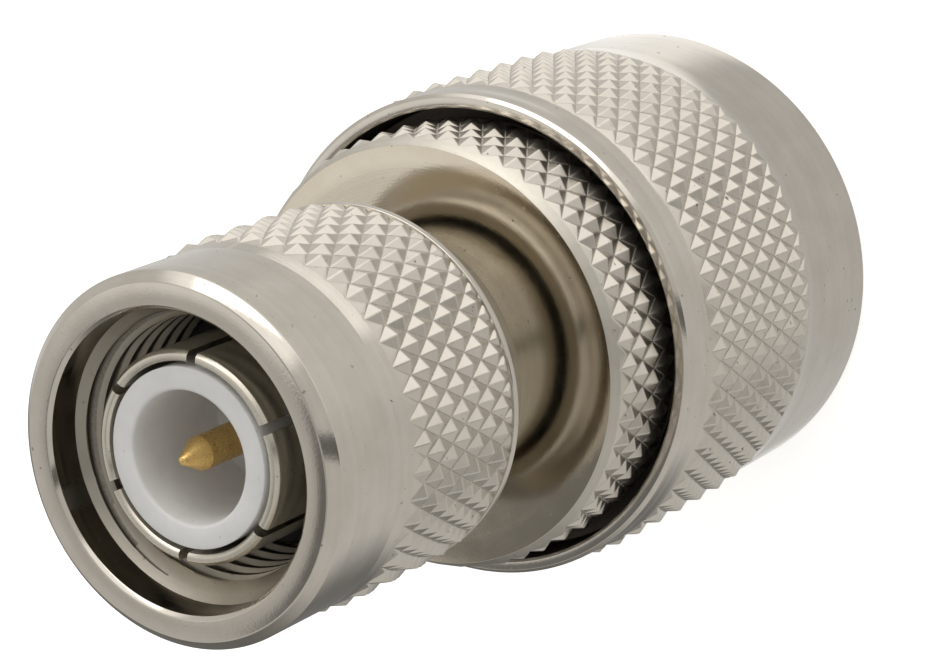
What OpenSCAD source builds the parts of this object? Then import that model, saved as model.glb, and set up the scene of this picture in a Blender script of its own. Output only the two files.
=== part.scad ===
// Coaxial adapter with a threaded plug at each end: a small plug above, a large plug below.
// The axis is Z. The large nut stands on its face at z = 0, and sizes are in millimetres.

/* [Large nut] */
// Diameter over the plain bands of the large nut
n_nut_d = 20.6; // [20:0.1:22]
// Length of the large nut from its face to its rear rim
n_nut_length = 16.6; // [16:0.1:18]
// Length of the plain band beside the face
n_face_band = 5.7; // [4.5:0.1:6.5]
// Length of the plain band beside the rear rim
n_rear_band = 2; // [1.4:0.1:2.4]
// Slope of the cone that cuts the end rows of the large nut's knurl
n_knurl_slope = 0.23; // [0.05:0.01:0.6]
// Angle in degrees to which the large nut is turned
n_nut_turn = 4.7; // [0:0.1:6]
// Diamonds round the grip of the large nut
n_knurl_count = 60; // [48:2:72]
// Diameter of the smooth mouth ahead of the thread
n_mouth_d = 16.6; // [16.2:0.1:17]
// Depth of the smooth mouth
n_mouth_depth = 2.2; // [1:0.1:3]
// Crest diameter of the thread inside the large nut
n_thread_d = 14.8; // [14.7:0.05:15]
// Wall of the rear rim round the flange
n_rim_wall = 0.6; // [0.5:0.05:0.8]

/* [Large plug] */
// Outer diameter of the large plug's contact tube
n_contact_d = 8.06; // [8:0.02:8.3]
// Bore of the large plug's contact tube
n_bore_d = 7; // [6.8:0.05:7.1]
// Depth of the contact tube's end inside the nut's face
n_contact_recess = 2; // [1:0.1:3]
// Length of the contact tube from its end to the gasket's seat
n_contact_length = 9.2; // [8.8:0.1:10]
// Diameter of the journal that the large nut turns on
n_journal_d = 13.6; // [13:0.1:13.8]
// Length of the journal from the gasket's seat to the flange
n_journal_length = 3.4; // [3.2:0.1:4.5]
// Thickness of the large gasket
n_gasket_thickness = 1.3; // [0.8:0.1:1.8]
// Thickness of the large retaining ring
n_ring_thickness = 1; // [0.8:0.05:1.1]

/* [Flange] */
// Length of the knurled flange
flange_length = 5.5; // [4.8:0.1:7]
// Distance of the knurl from the flange's face
flange_band = 0.4; // [0.3:0.05:1]
// Slope of the cone that cuts the end rows of the flange's knurl
flange_knurl_slope = 0.42; // [0.05:0.01:0.6]
// Angle in degrees at which the flange's knurl starts
flange_knurl_turn = 0; // [0:0.1:7]
// Radial width of the bevel round the flange's face
flange_bevel = 0.2; // [0.1:0.05:0.4]
// Length of the bevel round the flange's face
flange_bevel_length = 0.35; // [0.1:0.05:0.4]
// Plain lip behind the flange's knurl
flange_lip = 0.3; // [0.2:0.05:0.6]
// Radial gap between the flange's plain lip and the large nut's rear rim
flange_gap = 0.7; // [0.6:0.02:1.2]
// Diamonds round the flange
flange_knurl_count = 52; // [40:2:60]

/* [Small nut] */
// Diameter over the plain band of the small nut
tnc_nut_d = 14.5; // [14.2:0.1:16]
// Length of the small nut ahead of its hub
tnc_grip_length = 12.4; // [11.6:0.1:13]
// Length of the plain band beside the small nut's face
tnc_face_band = 4.9; // [3:0.05:5.4]
// Slope of the cone that cuts the front row of the small nut's knurl
tnc_knurl_slope = 0.1; // [0.05:0.01:0.6]
// Slope of the cone that cuts the rear row of the small nut's knurl
tnc_rear_slope = 0.23; // [0.05:0.01:0.6]
// Angle in degrees to which the small nut is turned
tnc_nut_turn = 5.9; // [0:0.1:8]
// Length of the plain lip behind the small nut's knurl
tnc_lip = 0.6; // [0.5:0.05:1]
// Bevel of that lip's rear edge
tnc_lip_bevel = 0.3; // [0.2:0.05:0.4]
// Depth of that lip below the knurl's crests
tnc_lip_drop = 0.12; // [0.06:0.01:0.14]
// Length of the plain hub behind the grip
tnc_hub_length = 2.1; // [1.5:0.1:2.4]
// Wall of the hub
tnc_hub_wall = 0.7; // [0.5:0.05:0.9]
// Open gap between the hub and the flange
tnc_hub_gap = 2.3; // [2:0.1:2.8]
// Diamonds round the grip of the small nut
tnc_knurl_count = 44; // [36:2:52]
// Diameter of the smooth mouth ahead of the thread
tnc_mouth_d = 11.7; // [11.5:0.1:12.2]
// Depth of the smooth mouth
tnc_mouth_depth = 1.5; // [1:0.1:2.6]
// Crest diameter of the thread inside the small nut
tnc_thread_d = 10.2; // [10.1:0.05:10.4]

/* [Small plug] */
// Outer diameter of the slotted contact tube
tnc_contact_d = 8.28; // [8.2:0.02:8.4]
// Bore of the slotted contact tube
tnc_bore_d = 7.4; // [7.2:0.05:7.5]
// Length of the slotted tube from its end to the gasket's seat
tnc_contact_length = 6.2; // [5.8:0.1:6.5]
// Slots round the contact tube
tnc_slot_count = 6; // [4:2:8]
// Width of one slot
tnc_slot_width = 0.4; // [0.3:0.05:0.7]
// Depth of one slot from the tube's end
tnc_slot_depth = 4.4; // [3:0.1:4.8]
// Angle of the first slot in degrees
tnc_slot_turn = 52; // [0:1:60]
// Length of the shoulder behind the gasket
tnc_shoulder_length = 2; // [1.6:0.1:2.4]
// Diameter of the neck and journal that the small nut turns on
tnc_journal_d = 10.3; // [10.1:0.1:10.6]
// Length of the neck and journal from the flange to the shoulder
tnc_journal_length = 7.8; // [7.4:0.1:8.2]
// Thickness of the small gasket
tnc_gasket_thickness = 1; // [0.8:0.1:1.4]
// Thickness of the small retaining ring
tnc_ring_thickness = 0.8; // [0.6:0.05:1]
// Diameter of the spigot pressed into the flange
spigot_d = 9.2; // [8.8:0.1:9.6]
// Length of the spigot pressed into the flange
spigot_length = 4; // [3:0.1:4.6]

/* [Gaskets and retaining rings] */
// Depth of the undercut in each contact tube under its gasket
gasket_undercut = 0.2; // [0.06:0.02:0.3]
// Depth of each retaining ring inside its journal
ring_root = 0.6; // [0.4:0.05:0.7]
// Depth of each retaining ring inside its nut
ring_reach = 0.42; // [0.3:0.02:0.5]
// Open part of each retaining ring in degrees
ring_opening = 34; // [15:1:60]
// Distance of each retaining ring from the end of its journal
ring_setback = 1; // [0.9:0.05:1.2]

/* [Insulators] */
// Bore of the cavity at the small plug's end
cavity_d = 5.18; // [4.9:0.02:5.4]
// Depth of that cavity
cavity_depth = 5.3; // [4.8:0.1:5.6]
// Web between the cavity and the pin's shoulder
web_thickness = 1.2; // [0.8:0.1:1.6]
// Depth of the small insulator's end inside the slotted tube
tnc_insulator_recess = 0.05; // [0:0.05:0.3]
// Radial gap between the small insulator's nose and the slotted tube
tnc_nose_gap = 0.2; // [0.1:0.05:0.3]
// Length of the large plug's insulator
n_insulator_length = 7.1; // [6:0.1:7.4]

/* [Centre pins] */
// Diameter of the small pin's tip
tnc_pin_d = 1.35; // [1.3:0.01:1.4]
// Step on the small pin where it leaves the insulator's web
tnc_pin_step = 0.2; // [0.05:0.01:0.3]
// Length by which the small pin leads the slotted tube
tnc_pin_lead = 0.35; // [0:0.05:0.4]
// Length of the cone at the small pin's tip
tnc_cone_length = 1.1; // [0.8:0.05:1.4]
// Diameter of the large pin's tip
n_pin_d = 1.65; // [1.6:0.01:1.7]
// Length of the large pin's tip
n_tip_length = 4; // [3.5:0.1:4.4]
// Depth of the large pin's tip inside its contact tube
n_tip_recess = 1.5; // [1:0.1:2]
// Diameter of the large pin behind its tip
n_pin_collar_d = 3.04; // [2.9:0.02:3.1]
// Depth to which the collar enters the insulator
n_collar_depth = 2; // [1:0.1:3]
// Diameter of both pins inside the insulators
pin_core_d = 2.1; // [1.9:0.05:2.3]
// Diameter of the stud that joins the pins
pin_stud_d = 1; // [0.8:0.05:1.1]
// Length of the stud that joins the pins
pin_stud_length = 3; // [2:0.1:4]
// Distance of the pins' joint from the insulators' joint
pin_joint_lead = 1; // [0.5:0.1:2]

/* [Fits and edges] */
// Radial gap of the turning nuts
running_gap = 0.3; // [0.2:0.05:0.35]
// Axial gap at the ends of a turning nut
end_gap = 0.4; // [0.3:0.05:0.5]
// Axial gap on each side of a retaining ring
ring_gap = 0.15; // [0.1:0.01:0.2]
// Gap of pieces pressed into each other
fit_gap = 0.05; // [0.02:0.01:0.08]
// Height of a knurl's crests above its grooves
knurl_depth = 0.26; // [0.2:0.02:0.4]
// Length of one diamond along the axis
knurl_pitch = 1.85; // [1.4:0.05:2.2]
// Bevel of a nut's outer edges
nut_bevel = 0.4; // [0.2:0.05:0.6]
// Bevel of the small edges
edge_bevel = 0.15; // [0.1:0.01:0.2]

/* [Hidden] */
$fn = 96;

nickel = [0.73, 0.72, 0.69];
white_plastic = [0.91, 0.91, 0.92];
gold = [0.79, 0.62, 0.22];
dark_rubber = [0.22, 0.21, 0.21];
spring_bronze = [0.66, 0.53, 0.36];

// Height of a knurl's grooves above the plain radius, and depth of its bed inside that radius
knurl_step = 0.04;
knurl_bed = 0.12;

// Length by which a cut runs past the solid, and by which a lip covers the end of a knurl
cut_over = 1;
lip_lap = 0.3;

// Radii
n_nut_r = n_nut_d / 2;
n_recess_r = n_nut_r - n_rim_wall;
n_journal_r = n_journal_d / 2;
n_nut_bore_r = n_journal_r + running_gap;
n_contact_r = n_contact_d / 2;
n_thread_r = n_thread_d / 2;
flange_r = n_recess_r - flange_gap;
tnc_nut_r = tnc_nut_d / 2;
tnc_journal_r = tnc_journal_d / 2;
tnc_nut_bore_r = tnc_journal_r + running_gap;
tnc_hub_r = tnc_nut_bore_r + tnc_hub_wall;
tnc_lip_r = tnc_nut_r + knurl_step + knurl_depth - tnc_lip_drop;
tnc_thread_r = tnc_thread_d / 2;
tnc_shoulder_r = tnc_thread_r - running_gap;
tnc_contact_r = tnc_contact_d / 2;
tnc_bore_r = tnc_bore_d / 2;
tnc_nose_r = tnc_bore_r - tnc_nose_gap;
n_bore_r = n_bore_d / 2;
pin_core_r = pin_core_d / 2;
tnc_pin_r = tnc_pin_d / 2;
tnc_web_r = tnc_pin_r + tnc_pin_step;
n_undercut_r = n_contact_r - gasket_undercut;
tnc_undercut_r = tnc_contact_r - gasket_undercut;

// Heights of the large plug and the flange
z_n_contact = n_contact_recess;
z_n_seat = z_n_contact + n_contact_length;
z_n_gasket = z_n_seat - n_gasket_thickness;
z_n_web = z_n_seat + end_gap;
z_n_ring = z_n_seat + ring_setback;
z_flange_rear = z_n_seat + n_journal_length;
z_n_recess = z_flange_rear - end_gap;
z_flange = z_flange_rear + flange_length;
z_split = z_flange - spigot_length;

// Heights of the small plug
z_t_journal = z_flange + tnc_journal_length;
z_t_seat = z_t_journal + tnc_shoulder_length;
z_t_gasket = z_t_seat + tnc_gasket_thickness;
z_t_contact = z_t_seat + tnc_contact_length;
z_t_slot = z_t_contact - tnc_slot_depth;
z_t_ring = z_t_journal - ring_setback - tnc_ring_thickness;
z_t_hub = z_flange + tnc_hub_gap;
z_t_grip = z_t_hub + tnc_hub_length;
z_t_face = z_t_grip + tnc_grip_length;
z_t_thread = z_t_journal + end_gap;

// Heights of the insulators and pins
z_n_insulator = z_split - n_insulator_length;
z_n_collar = z_n_insulator + n_collar_depth;
z_n_tip = z_n_contact + n_tip_recess;
z_n_tip_end = z_n_tip + n_tip_length;
z_t_insulator = z_t_contact - tnc_insulator_recess;
z_t_cavity = z_t_insulator - cavity_depth;
z_t_web = z_t_cavity - web_thickness;
z_pin_joint = z_split + pin_joint_lead;
z_t_tip = z_t_contact + tnc_pin_lead;

// Solid of revolution from points given as radius and height
module turned(points) {
    rotate_extrude()
        polygon(points);
}

// Point at a radius, angle and height
function polar(r, angle, z) = [r * cos(angle), r * sin(angle), z];

// Ring of four-sided pyramids that stand on the plain radius r, with two crossing families of
// grooves. A cone cuts the row at each end, so that the row runs down to the grooves.
module knurl(r, z_from, z_to, count, start, slope_low, slope_high) {
    rows = max(2, round(2 * (z_to - z_from) / knurl_pitch));
    rise = (z_to - z_from) / rows;
    root_r = r + knurl_step;
    crest_r = root_r + knurl_depth;
    turn = 360 / count;
    last = count - 1;
    cut_low = knurl_depth / (knurl_depth + slope_low * rise);
    cut_high = knurl_depth / (knurl_depth + slope_high * rise);

    // Share of a row by which the cone moves a crest along the axis
    function cut(j) = j == 0 ? cut_low : j == rows ? -cut_high : 0;

    corners = [for (j = [0:rows], i = [0:last])
        polar(root_r, start + (i + j % 2 / 2) * turn, z_from + j * rise)];
    crests = [for (j = [0:rows], i = [0:last])
        polar(
            crest_r - knurl_depth * abs(cut(j)),
            start + (i + (j + 1) % 2 / 2) * turn,
            z_from + (j + cut(j)) * rise
        )];
    bed = [for (j = [0, rows], i = [0:last])
        polar(r - knurl_bed, start + (i + j % 2 / 2) * turn, z_from + j * rise)];

    function corner(i, j) = j * count + (i + count) % count;
    function crest(i, j) = len(corners) + j * count + i;
    function bed_low(i) = len(corners) + len(crests) + i % count;
    function bed_high(i) = bed_low(i) + count;

    pyramids = [for (j = [0:rows], i = [0:last])
        let (left = corner(i - j % 2, j))
        let (right = corner(i + 1 - j % 2, j))
        let (below = corner(i, j - 1))
        let (above = corner(i, j + 1))
        each concat(
            j == 0
                ? [[crest(i, j), right, left]]
                : [[crest(i, j), right, below], [crest(i, j), below, left]],
            j == rows
                ? [[crest(i, j), left, right]]
                : [[crest(i, j), above, right], [crest(i, j), left, above]]
        )];
    ends = [for (i = [0:last]) each [
        [corner(i, 0), corner(i + 1, 0), bed_low(i + 1), bed_low(i)],
        [corner(i + 1, rows), corner(i, rows), bed_high(i), bed_high(i + 1)]
    ]];
    lining = [for (i = [0:last]) each (rows % 2 == 0)
        ? [[bed_low(i), bed_low(i + 1), bed_high(i + 1), bed_high(i)]]
        : [[bed_low(i), bed_low(i + 1), bed_high(i)], [bed_low(i + 1), bed_high(i + 1), bed_high(i)]]];

    polyhedron(concat(corners, crests, bed), concat(pyramids, ends, lining));
}

// Split ring that keeps a nut on its journal
module retaining_ring(journal_r, z, thickness) {
    inner_r = journal_r - ring_root;
    outer_r = journal_r + running_gap + ring_reach;
    translate([0, 0, z])
        rotate([0, 0, ring_opening / 2])
            rotate_extrude(angle = 360 - ring_opening)
                translate([inner_r, 0])
                    square([outer_r - inner_r, thickness]);
}

// Groove cut for a retaining ring, from its journal out into its nut
module ring_groove(journal_r, z, thickness) {
    inner_r = journal_r - ring_root - fit_gap;
    outer_r = journal_r + running_gap + ring_reach + ring_gap;
    translate([0, 0, z - ring_gap])
        difference() {
            cylinder(r = outer_r, h = thickness + 2 * ring_gap);
            translate([0, 0, -cut_over])
                cylinder(r = inner_r, h = thickness + 2 * (ring_gap + cut_over));
        }
}

// Flat ring with bevelled corners
module gasket(inner_r, outer_r, z, thickness) {
    turned([
        [inner_r, z + edge_bevel],
        [inner_r + edge_bevel, z],
        [outer_r - edge_bevel, z],
        [outer_r, z + edge_bevel],
        [outer_r, z + thickness - edge_bevel],
        [outer_r - edge_bevel, z + thickness],
        [inner_r + edge_bevel, z + thickness],
        [inner_r, z + thickness - edge_bevel]
    ]);
}

// Large plug's contact tube, its journal and the knurled flange, turned from one bar
module main_body() color(nickel) {
    z_knurl = z_flange_rear + nut_bevel + flange_lip;
    difference() {
        turned([
            [n_bore_r + edge_bevel, z_n_contact],
            [n_contact_r - edge_bevel, z_n_contact],
            [n_contact_r, z_n_contact + edge_bevel],
            [n_contact_r, z_n_gasket],
            [n_undercut_r, z_n_gasket],
            [n_undercut_r, z_n_seat],
            [n_journal_r, z_n_seat],
            [n_journal_r, z_flange_rear],
            [flange_r - nut_bevel, z_flange_rear],
            [flange_r, z_flange_rear + nut_bevel],
            [flange_r, z_flange - flange_bevel_length],
            [flange_r - flange_bevel, z_flange],
            [spigot_d / 2 + fit_gap, z_flange],
            [spigot_d / 2 + fit_gap, z_split],
            [n_bore_r, z_split],
            [n_bore_r, z_n_contact + edge_bevel]
        ]);
        ring_groove(n_journal_r, z_n_ring, n_ring_thickness);
    }
    knurl(
        flange_r, z_knurl, z_flange - flange_band,
        flange_knurl_count, flange_knurl_turn, flange_knurl_slope, flange_knurl_slope
    );
}

// Neck, nut journal and slotted contact tube of the small plug
module tnc_body() color(nickel)
    difference() {
        turned([
            [tnc_bore_r, z_split],
            [spigot_d / 2, z_split],
            [spigot_d / 2, z_flange],
            [tnc_journal_r, z_flange],
            [tnc_journal_r, z_t_journal - edge_bevel],
            [tnc_journal_r - edge_bevel, z_t_journal],
            [tnc_shoulder_r, z_t_journal],
            [tnc_shoulder_r, z_t_seat],
            [tnc_undercut_r, z_t_seat],
            [tnc_undercut_r, z_t_gasket],
            [tnc_contact_r, z_t_gasket],
            [tnc_contact_r, z_t_contact - edge_bevel],
            [tnc_contact_r - edge_bevel, z_t_contact],
            [tnc_bore_r, z_t_contact]
        ]);
        ring_groove(tnc_journal_r, z_t_ring, tnc_ring_thickness);
        for (i = [0:tnc_slot_count / 2 - 1])
            rotate([0, 0, tnc_slot_turn + i * 360 / tnc_slot_count])
                translate([-tnc_contact_d, -tnc_slot_width / 2, z_t_slot])
                    cube([2 * tnc_contact_d, tnc_slot_width, tnc_slot_depth + cut_over]);
    }

// Large coupling nut: plain face band, diamond grip and rear rim round the flange
module n_nut() color(nickel) {
    mouth_r = n_mouth_d / 2;
    difference() {
        turned([
            [mouth_r + edge_bevel, 0],
            [n_nut_r - nut_bevel, 0],
            [n_nut_r, nut_bevel],
            [n_nut_r, n_nut_length - edge_bevel],
            [n_nut_r - edge_bevel, n_nut_length],
            [n_recess_r, n_nut_length],
            [n_recess_r, z_n_recess],
            [n_nut_bore_r, z_n_recess],
            [n_nut_bore_r, z_n_web],
            [n_thread_r, z_n_web],
            [n_thread_r, n_mouth_depth + mouth_r - n_thread_r],
            [mouth_r, n_mouth_depth],
            [mouth_r, edge_bevel]
        ]);
        ring_groove(n_journal_r, z_n_ring, n_ring_thickness);
    }
    knurl(
        n_nut_r, n_face_band, n_nut_length - n_rear_band,
        n_knurl_count, n_nut_turn, n_knurl_slope, n_knurl_slope
    );
}

// Small coupling nut: plain face band, diamond grip and plain hub
module tnc_nut() color(nickel) {
    mouth_r = tnc_mouth_d / 2;
    z_lip = z_t_grip + tnc_lip;
    difference() {
        turned([
            [tnc_nut_bore_r, z_t_hub],
            [tnc_hub_r - edge_bevel, z_t_hub],
            [tnc_hub_r, z_t_hub + edge_bevel],
            [tnc_hub_r, z_t_grip],
            [tnc_lip_r - tnc_lip_bevel, z_t_grip],
            [tnc_lip_r, z_t_grip + tnc_lip_bevel],
            [tnc_lip_r, z_lip],
            [tnc_nut_r, z_lip],
            [tnc_nut_r, z_t_face - nut_bevel],
            [tnc_nut_r - nut_bevel, z_t_face],
            [mouth_r + edge_bevel, z_t_face],
            [mouth_r, z_t_face - edge_bevel],
            [mouth_r, z_t_face - tnc_mouth_depth],
            [tnc_thread_r, z_t_face - tnc_mouth_depth - mouth_r + tnc_thread_r],
            [tnc_thread_r, z_t_thread],
            [tnc_nut_bore_r, z_t_thread]
        ]);
        ring_groove(tnc_journal_r, z_t_ring, tnc_ring_thickness);
    }
    knurl(
        tnc_nut_r, z_lip - lip_lap, z_t_face - tnc_face_band,
        tnc_knurl_count, tnc_nut_turn, tnc_rear_slope, tnc_knurl_slope
    );
}

module n_retaining_ring() color(spring_bronze)
    retaining_ring(n_journal_r, z_n_ring, n_ring_thickness);

module tnc_retaining_ring() color(spring_bronze)
    retaining_ring(tnc_journal_r, z_t_ring, tnc_ring_thickness);

module n_gasket() color(dark_rubber)
    gasket(n_undercut_r + fit_gap, n_journal_r, z_n_gasket, n_gasket_thickness);

module tnc_gasket() color(dark_rubber)
    gasket(tnc_undercut_r + fit_gap, tnc_shoulder_r, z_t_seat, tnc_gasket_thickness);

// Bead that carries the large pin inside the flange
module n_insulator() color(white_plastic)
    turned([
        [n_pin_collar_d / 2 + fit_gap, z_n_insulator],
        [n_bore_r - fit_gap - edge_bevel, z_n_insulator],
        [n_bore_r - fit_gap, z_n_insulator + edge_bevel],
        [n_bore_r - fit_gap, z_split],
        [pin_core_r + fit_gap, z_split],
        [pin_core_r + fit_gap, z_n_collar],
        [n_pin_collar_d / 2 + fit_gap, z_n_collar]
    ]);

// Sleeve with an open cavity round the small pin
module tnc_insulator() color(white_plastic)
    turned([
        [pin_core_r + fit_gap, z_split],
        [tnc_bore_r - fit_gap, z_split],
        [tnc_bore_r - fit_gap, z_t_slot],
        [tnc_nose_r, z_t_slot],
        [tnc_nose_r, z_t_insulator],
        [cavity_d / 2 + edge_bevel, z_t_insulator],
        [cavity_d / 2, z_t_insulator - edge_bevel],
        [cavity_d / 2, z_t_cavity],
        [tnc_web_r + fit_gap, z_t_cavity],
        [tnc_web_r + fit_gap, z_t_web],
        [pin_core_r + fit_gap, z_t_web]
    ]);

// Large pin with a socket for the small pin's stud
module n_pin() color(gold)
    difference() {
        turned([
            [0, z_n_tip],
            [edge_bevel, z_n_tip],
            [n_pin_d / 2, z_n_tip + n_pin_d / 2],
            [n_pin_d / 2, z_n_tip_end],
            [n_pin_collar_d / 2 - edge_bevel, z_n_tip_end],
            [n_pin_collar_d / 2, z_n_tip_end + edge_bevel],
            [n_pin_collar_d / 2, z_n_collar],
            [pin_core_r, z_n_collar],
            [pin_core_r, z_pin_joint],
            [0, z_pin_joint]
        ]);
        translate([0, 0, z_pin_joint - pin_stud_length - end_gap])
            cylinder(r = pin_stud_d / 2 + fit_gap, h = pin_stud_length + end_gap + cut_over);
    }

// Small pin with the stud that joins it to the large pin
module tnc_pin() color(gold)
    turned([
        [0, z_pin_joint - pin_stud_length],
        [pin_stud_d / 2, z_pin_joint - pin_stud_length],
        [pin_stud_d / 2, z_pin_joint],
        [pin_core_r, z_pin_joint],
        [pin_core_r, z_t_web],
        [tnc_web_r, z_t_web],
        [tnc_web_r, z_t_cavity],
        [tnc_pin_r, z_t_cavity],
        [tnc_pin_r, z_t_tip - tnc_cone_length],
        [edge_bevel, z_t_tip],
        [0, z_t_tip]
    ]);

main_body();
tnc_body();
n_nut();
tnc_nut();
n_retaining_ring();
tnc_retaining_ring();
n_gasket();
tnc_gasket();
n_insulator();
tnc_insulator();
n_pin();
tnc_pin();
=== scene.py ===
"""Looks of a coaxial adapter: turned nickel bodies, diamond knurls, coupling threads and contacts."""

import math
from types import SimpleNamespace

import bmesh
import bpy
import numpy as np
from mathutils import Matrix, Vector


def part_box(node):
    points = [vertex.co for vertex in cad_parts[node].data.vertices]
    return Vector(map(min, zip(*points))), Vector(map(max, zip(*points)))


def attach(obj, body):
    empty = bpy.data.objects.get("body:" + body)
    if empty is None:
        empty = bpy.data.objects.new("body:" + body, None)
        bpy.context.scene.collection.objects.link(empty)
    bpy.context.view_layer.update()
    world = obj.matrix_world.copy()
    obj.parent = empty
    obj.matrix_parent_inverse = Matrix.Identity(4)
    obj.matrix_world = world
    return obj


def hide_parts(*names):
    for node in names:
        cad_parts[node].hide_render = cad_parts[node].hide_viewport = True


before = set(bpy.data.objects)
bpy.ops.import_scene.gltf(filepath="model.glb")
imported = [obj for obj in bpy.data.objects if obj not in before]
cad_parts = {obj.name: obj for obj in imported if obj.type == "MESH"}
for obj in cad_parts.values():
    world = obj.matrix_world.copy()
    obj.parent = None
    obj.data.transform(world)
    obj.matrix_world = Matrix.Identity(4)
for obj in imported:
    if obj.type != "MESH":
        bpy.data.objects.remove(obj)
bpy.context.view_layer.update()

MM = 0.001
INCH = 25.4

# Knurls, gaps, grooves and walls, in millimetres; the opening of the rings is in degrees
KNURL_STEP = 0.04
KNURL_DEPTH = 0.26
KNURL_PITCH = 1.85
RUN_GAP = 0.3
END_GAP = 0.4
RING_GAP = 0.15
RING_ROOT = 0.6
RING_OPENING = 34.0
FIT_GAP = 0.05
UNDERCUT = 0.2
SCORE = 0.06
RIM_WALL = 0.6

# Bevels, radii of rounded edges and distances that count as none, in millimetres
NUT_BEVEL = 0.4
EDGE = 0.15
SOFT = 0.12
CRISP = 0.05
RIDGE = 0.045
WELD = 0.0002
SLIVER = WELD / 20
SLACK = 0.01

# Thread form, as shares of half a pitch, and turns to an inch
CREST_SHARE = 0.3
FLANK_SHARE = 0.58
SMALL_TURNS = 28
LARGE_TURNS = 24


def extent(node):
    """Outer radius, lowest height and highest height of a CAD node, in millimetres."""
    lo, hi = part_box(node)
    return round(max(hi[0], hi[1]) / MM, 2), round(lo[2] / MM, 2), round(hi[2] / MM, 2)


def plug(nut, gasket, ring, journal_r):
    """Radii and heights of one plug's turning nut, gasket and retaining ring."""
    p = SimpleNamespace(journal_r=journal_r, bore_r=journal_r + RUN_GAP)
    p.crest_r, p.nut_low, p.nut_high = extent(nut)
    p.plain_r = p.crest_r - KNURL_STEP - KNURL_DEPTH
    p.gasket_r, p.gasket_low, p.gasket_high = extent(gasket)
    p.ring_r, p.ring_low, p.ring_high = extent(ring)
    return p


NECK_R, SPLIT_Z, CONTACT_Z = extent("tnc_body")
FLANGE_CREST_R, TUBE_Z, FLANGE_Z = extent("main_body")
SMALL = plug("tnc_nut", "tnc_gasket", "tnc_retaining_ring", NECK_R)
SMALL.mouth_r, SMALL.mouth_depth = 5.85, 1.5
LARGE = plug("n_nut", "n_gasket", "n_retaining_ring", extent("n_gasket")[0])
LARGE.mouth_r, LARGE.mouth_depth = 8.3, 2.2
LARGE.recess_r = LARGE.plain_r - RIM_WALL

# Small plug
SMALL_CONTACT_R = 4.14
SMALL_BORE_R = 3.7
SPIGOT_R = 4.6
SHOULDER_LENGTH = 2.0
SLOT_DEPTH = 4.4
SLOT_Z = CONTACT_Z - SLOT_DEPTH
JOURNAL_Z = SMALL.gasket_low - SHOULDER_LENGTH

# Large plug and flange
LARGE_CONTACT_R = 4.03
LARGE_BORE_R = 3.5
FLANGE_R = FLANGE_CREST_R - KNURL_STEP - KNURL_DEPTH
FLANGE_BAND = 0.4
JOURNAL_LENGTH = 3.4
FLANGE_REAR_Z = LARGE.gasket_high + JOURNAL_LENGTH

# Insulators and centre pins
PIN_CORE_R = 1.05
PIN_STUD_R = 0.5
PIN_WEB_R = 0.875
COLLAR_DEPTH = 2.0
CAVITY_DEPTH = 5.3
WEB_THICKNESS = 1.2
COLLAR_R, PIN_Z, JOINT_Z = extent("n_pin")
COLLAR_Z = extent("n_insulator")[1] + COLLAR_DEPTH
INSULATOR_Z = extent("tnc_insulator")[2]
CAVITY_Z = INSULATOR_Z - CAVITY_DEPTH
WEB_Z = CAVITY_Z - WEB_THICKNESS


# Outlines: limits within which a corner is rounded, and the share of a side that it may take
SHORTEST_SIDE = 1e-9
STRAIGHT_ANGLE = math.pi - 0.02
CORNER_SHARE = 0.45


def rounded(points, radius, steps=3):
    """Open outline of (r, z) points with its corners rounded; a third entry sets a corner's own radius."""
    out = [points[0][:2]]
    for a, b, c in zip(points, points[1:], points[2:]):
        r = b[2] if len(b) > 2 else radius
        p = np.array(b[:2], float)
        u = np.array(a[:2], float) - p
        v = np.array(c[:2], float) - p
        lu, lv = np.linalg.norm(u), np.linalg.norm(v)
        if r <= 0 or min(lu, lv) < SHORTEST_SIDE:
            out.append(tuple(p))
            continue
        u, v = u / lu, v / lv
        angle = math.acos(max(-1.0, min(1.0, float(u @ v))))
        if angle > STRAIGHT_ANGLE:
            out.append(tuple(p))
            continue
        cut = min(r / math.tan(angle / 2), CORNER_SHARE * lu, CORNER_SHARE * lv)
        start, end = p + u * cut, p + v * cut
        for k in range(steps + 1):
            t = k / steps
            q = (1 - t) ** 2 * start + 2 * t * (1 - t) * p + t ** 2 * end
            out.append((float(q[0]), float(q[1])))
    out.append(points[-1][:2])
    return out


def split_long(points, longest=1.2):
    """Outline with points added, so that no stretch is longer than the given length."""
    out = [points[0]]
    for a, b in zip(points, points[1:]):
        n = max(1, math.ceil(math.hypot(b[0] - a[0], b[1] - a[1]) / longest))
        out += [(a[0] + (b[0] - a[0]) * k / n, a[1] + (b[1] - a[1]) * k / n) for k in range(1, n + 1)]
    return out


def ring_groove(p, wall_r, floor_r, edge=0.04):
    """Four corners of a retaining ring's groove, from its upper edge to its lower edge."""
    high, low = p.ring_high + RING_GAP, p.ring_low - RING_GAP
    return [(wall_r, high, edge), (floor_r, high, 0), (floor_r, low, 0), (wall_r, low, edge)]


def scores(radius, *heights):
    """Outline of fine V cuts turned into a cylinder, from the lowest up."""
    cut = (0, -SCORE), (SCORE, 0), (0, SCORE)
    return [(radius - depth, z + rise, 0) for z in heights for depth, rise in cut]


def circle(count, start=0.0):
    return math.radians(start) + 2 * math.pi * np.arange(count) / count


def smooth(t):
    t = np.clip(t, 0, 1)
    return t * t * (3 - 2 * t)


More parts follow.
